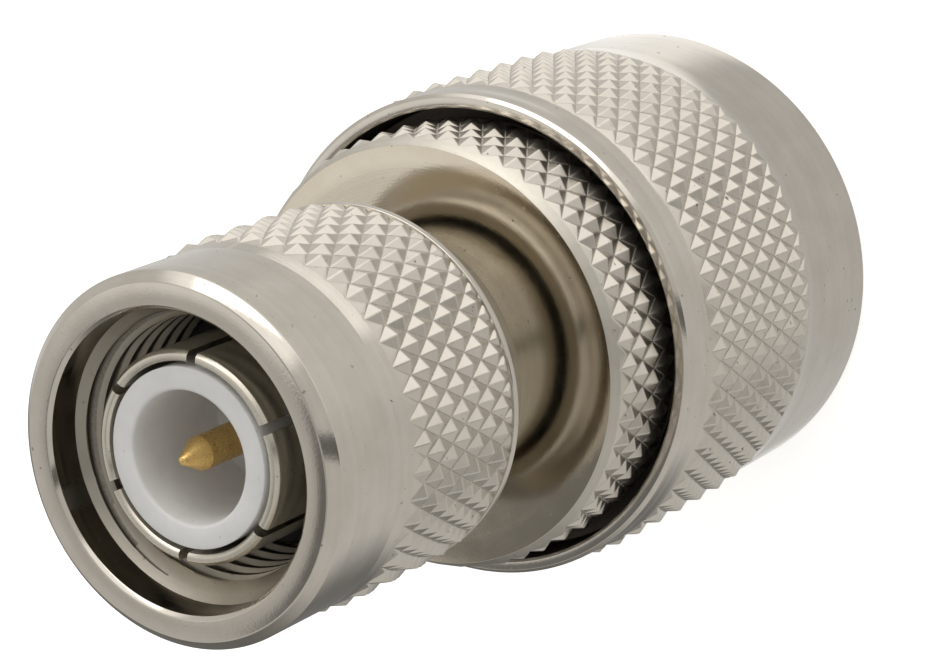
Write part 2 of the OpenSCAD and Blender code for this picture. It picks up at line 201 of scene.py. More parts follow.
class Build:
    """Points and faces of one piece, in millimetres, with a height of relief at each point."""

    def __init__(self):
        self.points = []
        self.faces = []
        self.relief = []

    def add(self, points, relief=1.0):
        first = len(self.points)
        self.points += [tuple(p) for p in points]
        if np.isscalar(relief):
            relief = [relief] * len(points)
        self.relief += list(relief)
        return list(range(first, first + len(points)))

    def row(self, radius, z, angles, relief=1.0):
        radius = np.broadcast_to(radius, angles.shape)
        z = np.broadcast_to(z, angles.shape)
        return self.add(np.stack([radius * np.cos(angles), radius * np.sin(angles), z], 1), relief)

    def join(self, a, b, wrap=True):
        n = len(a)
        for i in range(n if wrap else n - 1):
            k = (i + 1) % n
            self.faces.append((a[i], a[k], b[k], b[i]))

    def rows(self, rows, wrap=True, closed=False):
        for a, b in zip(rows, rows[1:]):
            self.join(a, b, wrap)
        if closed:
            self.join(rows[-1], rows[0], wrap)

    def outline(self, points, angles, relief=1.0):
        return [self.row(r, z, angles, relief) for r, z in points]

    def fill(self, bm):
        """Puts the points and faces into a bmesh and returns its layer of relief."""
        layer = bm.verts.layers.float.new("relief")
        verts = [bm.verts.new(p) for p in self.points]
        for v, height in zip(verts, self.relief):
            v[layer] = height
        for face in self.faces:
            ids = list(dict.fromkeys(face))
            if len(ids) > 2:
                bm.faces.new([verts[i] for i in ids])
        bmesh.ops.remove_doubles(bm, verts=bm.verts, dist=WELD)
        bmesh.ops.dissolve_degenerate(bm, dist=SLIVER, edges=bm.edges)
        return layer

    def object(self, name, sharp=34, ridge=0.0):
        """Mesh object of the piece; faces of knurls and of thread grooves stay flat."""
        bm = bmesh.new()
        layer = self.fill(bm)
        if ridge:
            round_ridges(bm, layer, ridge)
        heights = [[v[layer] for v in f.verts] for f in bm.faces]
        curved = [min(h) >= 0.0 and max(h) <= 1.0 for h in heights]
        bmesh.ops.scale(bm, vec=(MM, MM, MM), verts=bm.verts)
        mesh = bpy.data.meshes.new(name)
        bm.to_mesh(mesh)
        bm.free()
        mesh.set_sharp_from_angle(angle=math.radians(sharp))
        mesh.polygons.foreach_set("use_smooth", curved)
        obj = bpy.data.objects.new(name, mesh)
        bpy.context.scene.collection.objects.link(obj)
        return obj


def round_ridges(bm, layer, width, least_angle=0.3):
    """Rounds off the edges of a knurl that stand above the plain surface."""
    edges = [
        e for e in bm.edges
        if len(e.link_faces) == 2 and e.is_convex and e.calc_face_angle(0) > least_angle
        and max(v[layer] for v in e.verts) > 1.0
    ]
    bmesh.ops.bevel(
        bm, geom=edges, offset=width, offset_type="OFFSET", segments=2, profile=0.5,
        affect="EDGES", clamp_overlap=True, loop_slide=True
    )


def knurl(build, r, z_from, z_to, grip):
    """Pyramids on the plain radius r; returns the lowest and highest row of points, grip.per to a diamond."""
    count, per = grip.count, grip.per
    rows = max(2, round(2 * (z_to - z_from) / KNURL_PITCH))
    rise = (z_to - z_from) / rows
    root, turn, start = r + KNURL_STEP, 2 * math.pi / count, math.radians(grip.start)
    cut = {j: 0.0 for j in range(rows + 1)}
    cut[0] = KNURL_DEPTH / (KNURL_DEPTH + grip.slope_low * rise)
    cut[rows] = -KNURL_DEPTH / (KNURL_DEPTH + grip.slope_high * rise)
    i = np.arange(count)
    fine = np.arange(count * per) / per
    low = build.row(root, z_from, start + turn * fine)
    high = build.row(root, z_to, start + turn * (fine + rows % 2 / 2))
    corner = {0: low[::per], rows: high[::per]}
    for j in range(1, rows):
        corner[j] = build.row(root, z_from + j * rise, start + turn * (i + j % 2 / 2), 0.0)
    for j in range(rows + 1):
        crests = build.row(
            root + KNURL_DEPTH * (1 - abs(cut[j])), z_from + (j + cut[j]) * rise,
            start + turn * (i + (j + 1) % 2 / 2), 2.0 - abs(cut[j])
        )
        for k, apex in enumerate(crests):
            first = k - j % 2
            left, right = corner[j][first % count], corner[j][(first + 1) % count]
            if j > 0:
                below = corner[j - 1][k]
                build.faces += [(apex, below, right), (apex, left, below)]
            if j < rows:
                above = corner[j + 1][k]
                build.faces += [(apex, right, above), (apex, above, left)]
            if j in (0, rows):
                edge = low if j == 0 else high
                arc = [edge[(first * per + m) % len(edge)] for m in range(per + 1)]
                arc = arc if j == 0 else arc[::-1]
                build.faces += [(apex, a, b) for a, b in zip(arc, arc[1:])]
    return low, high


def thread(build, minor, major, pitch, z_high, z_low, angles, cone, fade, samples=14):
    """Inside right-handed thread followed downwards; returns its highest and lowest row of points."""
    base = (angles - angles[0]) / (2 * math.pi)
    first = math.ceil(z_high / pitch * samples) + 1
    last = math.floor((z_low / pitch - 1) * samples) - 1
    rows = {}
    for m in range(first, last - 1, -1):
        z = np.clip((m / samples + base) * pitch, z_low, z_high)
        phase = (z / pitch - base) % 1.0
        ramp = 1 - np.abs(2 * phase - 1)
        tooth = np.clip((ramp - CREST_SHARE) / FLANK_SHARE, 0, 1) * fade(z)
        radius = np.maximum(minor + (major - minor) * tooth, cone(z))
        # Relief falls below zero down a groove; the metal paints deep grooves dark as shade.
        rows[m] = build.row(radius, z, angles, 1 - 2 * tooth * (radius > cone(z)))
    n = len(angles)
    for m in range(first, last, -1):
        a, b = rows[m], rows[m - 1]
        build.join(a, b, wrap=False)
        over, under = rows[min(first, m + samples)], rows[min(first, m - 1 + samples)]
        build.faces.append((a[n - 1], over[0], under[0], b[n - 1]))
    return rows[first], rows[last]


# Node helpers
class Nodes:
    """Short way to make and link shader nodes."""

    def __init__(self, tree):
        self.tree = tree
        tree.nodes.clear()

    def new(self, kind, **settings):
        node = self.tree.nodes.new(kind)
        for key, value in settings.items():
            setattr(node, key, value)
        return node

    def put(self, socket, value):
        if isinstance(value, bpy.types.NodeSocket):
            self.tree.links.new(value, socket)
        elif isinstance(value, (tuple, list)) and socket.type == "RGBA" and len(value) == 3:
            socket.default_value = (*value, 1.0)
        else:
            socket.default_value = value

    def math(self, operation, a, b=0.0, clamp=False):
        node = self.new("ShaderNodeMath", operation=operation, use_clamp=clamp)
        for socket, value in zip(node.inputs, (a, b)):
            self.put(socket, value)
        return node.outputs[0]

    def ramp(self, value, low, high, out_low=0.0, out_high=1.0):
        node = self.new("ShaderNodeMapRange", interpolation_type="SMOOTHSTEP")
        for name, v in (("Value", value), ("From Min", low), ("From Max", high),
                        ("To Min", out_low), ("To Max", out_high)):
            self.put(node.inputs[name], v)
        return node.outputs[0]

    def mix(self, share, a, b):
        """Colour between two; the node's colour sockets share their names, so they go by number."""
        node = self.new("ShaderNodeMix", data_type="RGBA")
        self.put(node.inputs[0], share)
        self.put(node.inputs[6], a)
        self.put(node.inputs[7], b)
        return node.outputs[2]

    def blend(self, colour, tone, share, amount):
        """Colour with a tone laid over a share of it, by an amount."""
        return self.mix(self.math("MULTIPLY", share, amount), colour, tone)

    def vary(self, base, noise, amount):
        """Value that a noise moves up and down by an amount."""
        return self.math("ADD", base, self.math("MULTIPLY", self.math("SUBTRACT", noise, 0.5), amount))

    def noise(self, vector, scale, detail=2.0, rough=0.5):
        node = self.new("ShaderNodeTexNoise")
        self.put(node.inputs["Vector"], vector)
        self.put(node.inputs["Scale"], scale)
        self.put(node.inputs["Detail"], detail)
        self.put(node.inputs["Roughness"], rough)
        return node.outputs[0]

    def place(self):
        """Position in millimetres, its distance from the axis, and its height."""
        coord = self.new("ShaderNodeTexCoord").outputs["Object"]
        scale = self.new("ShaderNodeVectorMath", operation="SCALE")
        self.put(scale.inputs[0], coord)
        self.put(scale.inputs["Scale"], 1 / MM)
        parts = self.new("ShaderNodeSeparateXYZ")
        self.put(parts.inputs[0], scale.outputs[0])
        x, y, z = parts.outputs
        radius = self.math("SQRT", self.math("ADD", self.math("MULTIPLY", x, x), self.math("MULTIPLY", y, y)))
        return scale.outputs[0], radius, z

    def turning(self, radius, z, fine):
        """Vector that changes only across the lines a lathe tool leaves."""
        node = self.new("ShaderNodeCombineXYZ")
        self.put(node.inputs[0], self.math("MULTIPLY", radius, fine))
        self.put(node.inputs[1], self.math("MULTIPLY", z, fine))
        self.put(node.inputs[2], 0.0)
        return node.outputs[0]

    def bump(self, height, strength, distance, normal=None):
        node = self.new("ShaderNodeBump")
        self.put(node.inputs["Height"], height)
        self.put(node.inputs["Strength"], strength)
        self.put(node.inputs["Distance"], distance)
        if normal is not None:
            self.put(node.inputs["Normal"], normal)
        return node.outputs[0]

    def surface(self, **sockets):
        shader = self.new("ShaderNodeBsdfPrincipled")
        for name, value in sockets.items():
            self.put(shader.inputs[name.replace("_", " ")], value)
        out = self.new("ShaderNodeOutputMaterial")
        self.tree.links.new(shader.outputs[0], out.inputs[0])


def material(name):
    mat = bpy.data.materials.new(name)
    mat.use_nodes = True
    return mat, Nodes(mat.node_tree)


def metal(name, light, dark, grime_and_shade, rough, lines=0.1, pits=0.7, worn=0.6, soil_and_shade=0.25):
    """Plated metal: tool lines, cloudy tone, specks, dirt and painted shade in hollows, painted shade deep in
    thread grooves, and polish on crests.
    """
    mat, n = material(name)
    place, radius, z = n.place()
    relief = n.new("ShaderNodeAttribute", attribute_name="relief").outputs["Fac"]
    # Knurl valleys and thread grooves (relief at or below zero): darkened below, part dirt, part painted
    # shade.
    hollow_dirt_and_shade = n.ramp(relief, 0.2, 0.0)
    crest = n.ramp(relief, 1.45, 2.0)
    cloud = n.noise(place, 0.55, 4.0, 0.6)
    grain = n.noise(place, 9.0, 3.0, 0.6)
    line = n.noise(n.turning(radius, z, 14.0), 1.0, 2.0, 0.7)
    band = n.noise(n.turning(radius, z, 2.2), 1.0, 2.0, 0.5)
    tone = n.math("ADD", n.math("MULTIPLY", cloud, 0.6), n.math("MULTIPLY", band, 0.4))
    colour = n.mix(n.ramp(tone, 0.32, 0.68), dark, light)
    colour = n.blend(colour, dark, n.ramp(line, 0.42, 0.62), 0.12)
    speck = n.math("MULTIPLY", n.ramp(n.noise(place, 3.6, 2.0, 0.5), 0.70, 0.76), n.ramp(cloud, 0.35, 0.6))
    colour = n.blend(colour, grime_and_shade, speck, pits)
    # Dirt and painted shade laid into the knurl valleys and thread grooves.
    colour = n.blend(colour, grime_and_shade, hollow_dirt_and_shade, n.ramp(grain, 0.3, 0.7, 0.2 * soil_and_shade, soil_and_shade))
    # Painted shade: deep thread grooves turned nearly to the dark dirt tone.
    colour = n.mix(n.ramp(relief, -0.3, -0.95, 0.0, 0.9), colour, grime_and_shade)
    colour = n.blend(colour, light, crest, worn)
    rougher = n.vary(rough, cloud, 0.6 * rough)
    rougher = n.vary(rougher, grain, 0.4 * rough)
    rougher = n.math("ADD", rougher, n.math("MULTIPLY", hollow_dirt_and_shade, soil_and_shade))
    rougher = n.math("ADD", rougher, n.math("MULTIPLY", speck, 0.3), clamp=True)
    shape = n.bump(line, lines, 0.02 * MM)
    shape = n.bump(grain, lines, 0.03 * MM, shape)
    shape = n.bump(speck, -0.25, 0.03 * MM, shape)
    n.surface(Base_Color=colour, Metallic=1.0, Roughness=rougher, Normal=shape)
    return mat


def plastic(name, light, dark, rough, glow, depth=1.0):
    """Turned white plastic: faint clouds, tool lines, a few specks and light that enters to a depth."""
    mat, n = material(name)
    place, radius, z = n.place()
    cloud = n.noise(place, 0.8, 3.0, 0.6)
    line = n.noise(n.turning(radius, z, 9.0), 1.0, 2.0, 0.6)
    colour = n.mix(n.ramp(cloud, 0.3, 0.7), dark, light)
    speck = n.ramp(n.noise(place, 4.5, 2.0, 0.5), 0.71, 0.77)
    colour = n.blend(colour, tuple(0.45 * c for c in dark), speck, 0.35)
    rougher = n.vary(rough, line, 0.2)
    n.surface(
        Base_Color=colour, Roughness=rougher, Normal=n.bump(line, 0.25, 0.03 * MM),
        Subsurface_Weight=glow, Subsurface_Radius=(depth * MM, depth * MM, depth * MM), Subsurface_Scale=1.0
    )
    return mat


def rubber(name, light, dark):
    """Dull rubber with faint clouds and a fine grain."""
    mat, n = material(name)
    place = n.place()[0]
    cloud = n.noise(place, 1.5, 4.0, 0.6)
    grain = n.noise(place, 14.0, 3.0, 0.6)
    n.surface(
        Base_Color=n.mix(n.ramp(cloud, 0.3, 0.7), dark, light), Roughness=n.ramp(grain, 0.2, 0.8, 0.55, 0.8),
        Normal=n.bump(grain, 0.3, 0.04 * MM)
    )
    return mat


# Finishes, each with a light tone, a dark tone, the tone of its dirt and painted shade, and a roughness
GREY_GRIME_AND_SHADE = (0.09, 0.075, 0.06)
BROWN_GRIME_AND_SHADE = (0.12, 0.10, 0.07)
NICKEL = metal("nickel_plate", (0.64, 0.60, 0.545), (0.57, 0.53, 0.47), GREY_GRIME_AND_SHADE, 0.11, lines=0.06)
KNURL_NICKEL = metal(
    "nickel_plate_knurl", (0.66, 0.62, 0.56), (0.60, 0.56, 0.50), GREY_GRIME_AND_SHADE, 0.33, lines=0.06, soil_and_shade=0.42
)
BRIGHT_NICKEL = metal(
    "nickel_plate_face", (0.68, 0.62, 0.52), (0.62, 0.56, 0.46), BROWN_GRIME_AND_SHADE, 0.12, lines=0.05, pits=0.5
)
SMOOTH_NICKEL = metal(
    "nickel_plate_smooth", (0.69, 0.65, 0.57), (0.60, 0.56, 0.48), BROWN_GRIME_AND_SHADE, 0.24, pits=0.6
)
# Darker copy of the nickel for the small nut's mouth and thread: painted shade of the mouth's inside.
THREAD_SHADE_NICKEL = metal(
    "nickel_plate_thread_painted_shade", (0.50, 0.47, 0.41), (0.41, 0.38, 0.33), GREY_GRIME_AND_SHADE, 0.46, pits=0.6
)
MATT_NICKEL = metal(
    "nickel_plate_mouth", (0.60, 0.57, 0.51), (0.52, 0.49, 0.43), (0.06, 0.05, 0.04), 0.44, pits=0.6
)
# Nearly black nickel for the large nut's rear recess and bore: painted shade of the deep gap, with some dirt.
RECESS_DIRT_AND_SHADE_NICKEL = metal(
    "nickel_plate_recess_dirt_and_shade", (0.13, 0.115, 0.10), (0.08, 0.07, 0.06), (0.03, 0.025, 0.02), 0.50, pits=0.6
)
GOLD = metal("gold_plate", (0.90, 0.63, 0.25), (0.76, 0.50, 0.17), (0.20, 0.12, 0.05), 0.28, pits=0.4)
BRONZE = metal("spring_bronze", (0.50, 0.36, 0.22), (0.38, 0.26, 0.15), (0.08, 0.05, 0.03), 0.34, pits=0.5)
PTFE = plastic("white_plastic", (0.79, 0.79, 0.79), (0.74, 0.74, 0.74), 0.42, 0.5)
RUBBER = rubber("dark_rubber", (0.045, 0.042, 0.042), (0.02, 0.019, 0.019))


def finish_piece(obj, mat, body, node):
    """Gives a piece its material and the body that it rides on, and hides the CAD node that it stands for."""
    obj.data.materials.append(mat)
    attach(obj, body)
    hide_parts(node)
    return obj


def knurl_material(obj, mat):
    """Gives a material of their own to the flat faces, which are those of a knurl or a thread groove."""
    obj.data.materials.append(mat)
    for face in obj.data.polygons:
        if not face.use_smooth:
            face.material_index = len(obj.data.materials) - 1


def zone_material(obj, mat, *zones):
    """Gives a material of their own to the faces in zones, each within a radius and between two heights."""
    obj.data.materials.append(mat)
    for face in obj.data.polygons:
        x, y, z = face.center / MM
        if any(math.hypot(x, y) < r_to and z_from < z < z_to for r_to, z_from, z_to in zones):
            face.material_index = len(obj.data.materials) - 1


# Small coupling nut
def make_small_nut():
    """Hub, bevelled lip, diamond grip, plain band, mouth and thread."""
    p = SMALL
    grip = SimpleNamespace(count=44, per=8, start=5.9, slope_low=0.23, slope_high=0.1)
    hub_wall, hub_length = 0.7, 2.1
    lip_drop, lip, lip_bevel, lip_lap = 0.12, 0.6, 0.3, 0.3
    band, band_rise, nick = 4.9, 0.75, 0.05
    score_low, score_high = 0.75, 0.35
    mouth_r, minor, major, run_out = p.mouth_r, 5.1, 5.56, 0.8
    hub_r, lip_r = p.bore_r + hub_wall, p.crest_r - lip_drop
    z_grip = p.nut_low + hub_length
    z_lip = z_grip + lip
    z_band = p.nut_high - band
    z_edge = z_band + band_rise
    z_mouth = p.nut_high - p.mouth_depth
    z_cone = z_mouth - mouth_r + major
    z_thread = JOURNAL_Z + END_GAP

    def cone(z):
        return minor + np.clip(z - z_mouth + mouth_r - minor, 0, 1)

    def fade(z):
        return smooth((z - z_thread) / run_out)

    build = Build()
    low, high = knurl(build, p.plain_r, z_lip - lip_lap, z_band, grip)
    angles = circle(grip.count * grip.per, grip.start)
    front = split_long(rounded([
        (p.plain_r + KNURL_STEP, z_band), (p.plain_r - nick, z_edge - nick, 0), (p.plain_r, z_edge, 0),
        (p.plain_r, p.nut_high - NUT_BEVEL, SOFT), (p.plain_r - NUT_BEVEL, p.nut_high, SOFT),
        (mouth_r + EDGE, p.nut_high), (mouth_r, p.nut_high - EDGE), (mouth_r, z_mouth), (major, z_cone)
    ], CRISP))
    top, bottom = thread(build, minor, major, INCH / SMALL_TURNS, z_cone, z_thread, angles, cone, fade)
    build.rows([high] + build.outline(front[1:], angles) + [top])
    rear = split_long(rounded([
        (minor, z_thread), (p.bore_r, z_thread, 0), *ring_groove(p, p.bore_r, p.ring_r + RING_GAP),
        (p.bore_r, p.nut_low), (hub_r - EDGE, p.nut_low), (hub_r, p.nut_low + EDGE),
        *scores(hub_r, z_grip - score_low, z_grip - score_high), (hub_r, z_grip),
        (lip_r - lip_bevel, z_grip), (lip_r, z_grip + lip_bevel), (lip_r, z_lip), (p.plain_r, z_lip, 0),
        (p.plain_r + KNURL_STEP, z_lip - lip_lap)
    ], CRISP))
    build.rows([bottom] + build.outline(rear[1:-1], angles) + [low])
    return build.object("small_nut_dress", ridge=RIDGE)


# Large coupling nut
def make_large_nut():
    """Rear rim round the flange, diamond grip, plain band, mouth and thread."""
    p = LARGE
    grip = SimpleNamespace(count=60, per=6, start=4.7, slope_low=0.23, slope_high=0.23)
    band, rear_band, band_rise = 5.7, 2.0, 0.18
    rim_bevel = 0.1
    mouth_r, mouth_depth, minor, major, run_out = p.mouth_r, p.mouth_depth, 7.4, 7.94, 0.9
    recess_r, z_recess = p.recess_r, FLANGE_REAR_Z - END_GAP
    z_grip = p.nut_high - rear_band
    z_thread = p.gasket_high + END_GAP
    z_cone = mouth_depth + mouth_r - major

    def cone(z):
        return minor + np.clip(mouth_depth + mouth_r - minor - z, 0, 1)

    def fade(z):
        return smooth((z_thread - z) / run_out)

    build = Build()
    low, high = knurl(build, p.plain_r, band, z_grip, grip)
    angles = circle(grip.count * grip.per, grip.start)
    rear = split_long(rounded([
        (p.plain_r + KNURL_STEP, z_grip), (p.plain_r, z_grip + band_rise, 0),
        (p.plain_r, p.nut_high - EDGE), (p.plain_r - EDGE, p.nut_high),
        (recess_r + rim_bevel, p.nut_high), (recess_r, p.nut_high - rim_bevel),
        (recess_r, z_recess, SOFT), (p.bore_r, z_recess), *ring_groove(p, p.bore_r, p.ring_r + RING_GAP),
        (p.bore_r, z_thread), (minor, z_thread)
    ], CRISP))
    top, bottom = thread(build, minor, major, INCH / LARGE_TURNS, z_thread, z_cone, angles, cone, fade)
    build.rows([high] + build.outline(rear[1:], angles) + [top])
    face = split_long(rounded([
        (major, z_cone), (mouth_r, mouth_depth), (mouth_r, EDGE), (mouth_r + EDGE, p.nut_low),
        (p.plain_r - NUT_BEVEL, p.nut_low, SOFT), (p.plain_r, NUT_BEVEL, SOFT),
        (p.plain_r, band - band_rise, 0), (p.plain_r + KNURL_STEP, band)
    ], CRISP))
    build.rows([bottom] + build.outline(face[1:-1], angles) + [low])
    return build.object("large_nut_dress", ridge=RIDGE)


# Flange, journal and contact tube of the large plug
def make_main_body():
    """Knurled flange with a bright face, the nut's journal and the plain contact tube."""
    p = LARGE
    grip = SimpleNamespace(count=52, per=8, start=0.0, slope_low=0.42, slope_high=0.42)
    band, lip, bevel, bevel_edge = FLANGE_BAND, 0.3, 0.2, 0.03
    tube_r, bore_r = LARGE_CONTACT_R, LARGE_BORE_R
    undercut_r, socket_r = tube_r - UNDERCUT, SPIGOT_R + FIT_GAP
    z_low = FLANGE_REAR_Z + NUT_BEVEL + lip

    build = Build()
    low, high = knurl(build, FLANGE_R, z_low, FLANGE_Z - band, grip)
    angles = circle(grip.count * grip.per, grip.start + 180 / grip.count)
    groove = ring_groove(p, p.journal_r, p.journal_r - RING_ROOT - FIT_GAP)[::-1]
    chain = split_long(rounded([
        (FLANGE_R + KNURL_STEP, FLANGE_Z - band), (FLANGE_R - bevel, FLANGE_Z, bevel_edge),
        (socket_r, FLANGE_Z, 0), (socket_r, SPLIT_Z, 0), (bore_r, SPLIT_Z, 0), (bore_r, TUBE_Z + EDGE),
        (bore_r + EDGE, TUBE_Z), (tube_r - EDGE, TUBE_Z), (tube_r, TUBE_Z + EDGE), (tube_r, p.gasket_low),
        (undercut_r, p.gasket_low, 0), (undercut_r, p.gasket_high, 0), (p.journal_r, p.gasket_high),
        *groove, (p.journal_r, FLANGE_REAR_Z),
        (FLANGE_R - NUT_BEVEL, FLANGE_REAR_Z, SOFT), (FLANGE_R, FLANGE_REAR_Z + NUT_BEVEL, SOFT),
        (FLANGE_R + KNURL_STEP, z_low)
    ], CRISP))
    half = grip.per // 2
    build.rows([high] + build.outline(chain[1:-1], angles) + [low[half:] + low[:half]])
    return build.object("flange_dress", ridge=RIDGE)


# Neck, journal and slotted contact tube of the small plug
def make_neck():
    """Neck and journal with six spring fingers cut into the contact tube."""
    slots, first, half = 6, 52.0, 0.2
    p, outer_r, bore_r = SMALL, SMALL_CONTACT_R, SMALL_BORE_R
    undercut_r, shoulder_r = outer_r - UNDERCUT, p.gasket_r
    lead = 0.1
    groove = ring_groove(p, p.journal_r, p.journal_r - RING_ROOT - FIT_GAP)[::-1]
    outer = split_long(rounded([
        (SPIGOT_R, SPLIT_Z), (SPIGOT_R, FLANGE_Z, 0), (p.journal_r, FLANGE_Z, 0), *groove,
        (p.journal_r, JOURNAL_Z - EDGE), (p.journal_r - EDGE, JOURNAL_Z), (shoulder_r, JOURNAL_Z, 0),
        (shoulder_r, p.gasket_low), (undercut_r, p.gasket_low, 0), (undercut_r, p.gasket_high, 0),
        (outer_r, p.gasket_high), (outer_r, SLOT_Z)
    ], CRISP))
    finger = split_long(rounded([
        (outer_r, SLOT_Z), (outer_r, CONTACT_Z - EDGE), (outer_r - EDGE, CONTACT_Z),
        (bore_r + lead, CONTACT_Z), (bore_r, CONTACT_Z - lead), (bore_r, SLOT_Z)
    ], CRISP), 0.6)[1:-1]
    inner = split_long([(bore_r, SLOT_Z), (bore_r, SPLIT_Z)], 2.0)

    build = Build()
    columns = finger_columns(slots, math.radians(first), half)
    low = [add_column(build, outer, c) for c in columns]
    bore = [add_column(build, inner, c) for c in columns]
    tall = [add_column(build, finger, c) if c.solid else [] for c in columns]
    walls = [[a[-1], *t, b[0]] for a, t, b in zip(low, tall, bore)]
    for i, column in enumerate(columns):
        k = (i + 1) % len(columns)
        build.join(low[k], low[i], wrap=False)
        build.join(bore[k], bore[i], wrap=False)
        build.faces.append((bore[i][-1], bore[k][-1], low[k][0], low[i][0]))
        if column.in_slot:
            build.faces.append((low[i][-1], low[k][-1], bore[k][0], bore[i][0]))
        else:
            build.join(walls[k], walls[i], wrap=False)
        if column.edge:
            build.faces.append(tuple(walls[i][::-column.edge]))
    return build.object("neck_dress", sharp=30)


def finger_columns(slots, first, half, steps=24):
    """Upright columns round the slotted tube: some across each slot, then some along each finger."""
    span = 2 * math.pi / slots
    columns = []
    for s in range(slots):
        middle = first + span * s
        for across in (-1.0, -1 / 3, 1 / 3, 1.0):
            at_edge = abs(across) == 1.0
            columns.append(SimpleNamespace(
                angle=lambda r, m=middle, t=across: m + t * math.asin(half / r),
                in_slot=across < 1.0, edge=int(across) if at_edge else 0, solid=at_edge
            ))
        for k in range(1, steps):
            columns.append(SimpleNamespace(
                angle=lambda r, m=middle, t=k / steps: m + span * t + (1 - 2 * t) * math.asin(half / r),
                in_slot=False, edge=0, solid=True
            ))
    return columns


def add_column(build, points, column):
    """Adds an outline's points along one column, whose angle depends on the radius."""
    angles = [column.angle(r) for r, z in points]
    return build.add([(r * math.cos(a), r * math.sin(a), z) for (r, z), a in zip(points, angles)])


# Plain turned pieces
def make_turned(name, points, closed, columns=128, radius=CRISP, longest=1.5):
    """Piece turned from one outline, which closes on itself or starts and ends on the axis."""
    build = Build()
    if closed:
        first = tuple((points[-1][c] + points[0][c]) / 2 for c in (0, 1))
        points = [first, *points, first]
    chain = split_long(rounded(points, radius), longest)
    if closed:
        chain = chain[:-1]
    build.rows(build.outline(chain, circle(columns)), closed=closed)
    return build.object(name)


def make_ring(name, p, columns=96):
    """Split retaining ring of a plug."""
    build = Build()
    inner, outer, middle = p.journal_r - RING_ROOT, p.ring_r, (p.ring_low + p.ring_high) / 2
    section = rounded([
        (outer, middle), (outer, p.ring_high), (inner, p.ring_high), (inner, p.ring_low), (outer, p.ring_low),
        (outer, middle)
    ], CRISP)[:-1]
    angles = np.radians(np.linspace(RING_OPENING / 2, 360 - RING_OPENING / 2, columns))
    rows = build.outline(section, angles)
    build.rows(rows, wrap=False, closed=True)
    build.faces.append(tuple(r[0] for r in rows))
    build.faces.append(tuple(r[-1] for r in rows[::-1]))
    return build.object(name)


def make_gasket(name, p, contact_r):
    """Rubber ring in the undercut of a contact tube."""
    inner = contact_r - UNDERCUT + FIT_GAP
    return make_turned(name, [
        (p.gasket_r, p.gasket_low), (p.gasket_r, p.gasket_high), (inner, p.gasket_high), (inner, p.gasket_low)
    ], closed=True, radius=0.2)


def make_small_insulator():
    """White sleeve with a turned-down nose and an open cavity."""
    cavity_r, cavity_fillet, nose_gap, nose_edge = 2.59, 0.2, 0.2, 0.03
    nose_r = SMALL_BORE_R - nose_gap
    sleeve_r, web_r, core_r = SMALL_BORE_R - FIT_GAP, PIN_WEB_R + FIT_GAP, PIN_CORE_R + FIT_GAP
    return make_turned("small_insulator_dress", [
        (sleeve_r, SPLIT_Z, 0), (sleeve_r, SLOT_Z, 0), (nose_r, SLOT_Z, 0), (nose_r, INSULATOR_Z, nose_edge),
        (cavity_r, INSULATOR_Z, EDGE), (cavity_r, CAVITY_Z, cavity_fillet),
        (web_r, CAVITY_Z), (web_r, WEB_Z, 0), (core_r, WEB_Z, 0), (core_r, SPLIT_Z, 0)
    ], closed=True)


def make_large_insulator():
    """White bead round the large pin."""
    r, z, _ = extent("n_insulator")
    core_r, collar_r = PIN_CORE_R + FIT_GAP, COLLAR_R + FIT_GAP
    return make_turned("large_insulator_dress", [
        (r, z + EDGE), (r, SPLIT_Z, 0), (core_r, SPLIT_Z, 0), (core_r, COLLAR_Z, 0), (collar_r, COLLAR_Z, 0),
        (collar_r, z), (r - EDGE, z)
    ], closed=True)


def make_small_pin():
    """Gold pin with a blunt cone; its stud enters the large pin."""
    _, z_stud, z_tip = extent("tnc_pin")
    tip_r, cone, blunt = 0.675, 1.1, 0.15
    crown, crown_edge, web_edge = 0.03, 0.1, 0.03
    return make_turned("small_pin_dress", [
        (0, z_stud), (PIN_STUD_R, z_stud), (PIN_STUD_R, JOINT_Z, 0), (PIN_CORE_R, JOINT_Z, 0),
        (PIN_CORE_R, WEB_Z, 0), (PIN_WEB_R, WEB_Z, 0), (PIN_WEB_R, CAVITY_Z, web_edge), (tip_r, CAVITY_Z, 0),
        (tip_r, z_tip - cone), (blunt, z_tip - crown, crown_edge), (0, z_tip)
    ], closed=False, columns=64, radius=0.02, longest=0.8)


def make_large_pin():
    """Gold pin with a collar, bored for the small pin's stud."""
    tip_r, blunt, tip_length, stud_depth = 0.825, 0.15, 4.0, 3.4
    bore_r = PIN_STUD_R + FIT_GAP
    z_tip, z_collar, z_bore = PIN_Z, PIN_Z + tip_length, JOINT_Z - stud_depth
    return make_turned("large_pin_dress", [
        (0, z_tip), (blunt, z_tip), (tip_r, z_tip + tip_r), (tip_r, z_collar, 0), (COLLAR_R - EDGE, z_collar),
        (COLLAR_R, z_collar + EDGE), (COLLAR_R, COLLAR_Z, 0), (PIN_CORE_R, COLLAR_Z, 0),
        (PIN_CORE_R, JOINT_Z, 0), (bore_r, JOINT_Z, 0), (bore_r, z_bore, 0), (0, z_bore)
    ], closed=False, columns=64, longest=0.8)


# Pieces in place
nut = finish_piece(make_small_nut(), NICKEL, "small_nut", "tnc_nut")
knurl_material(nut, KNURL_NICKEL)
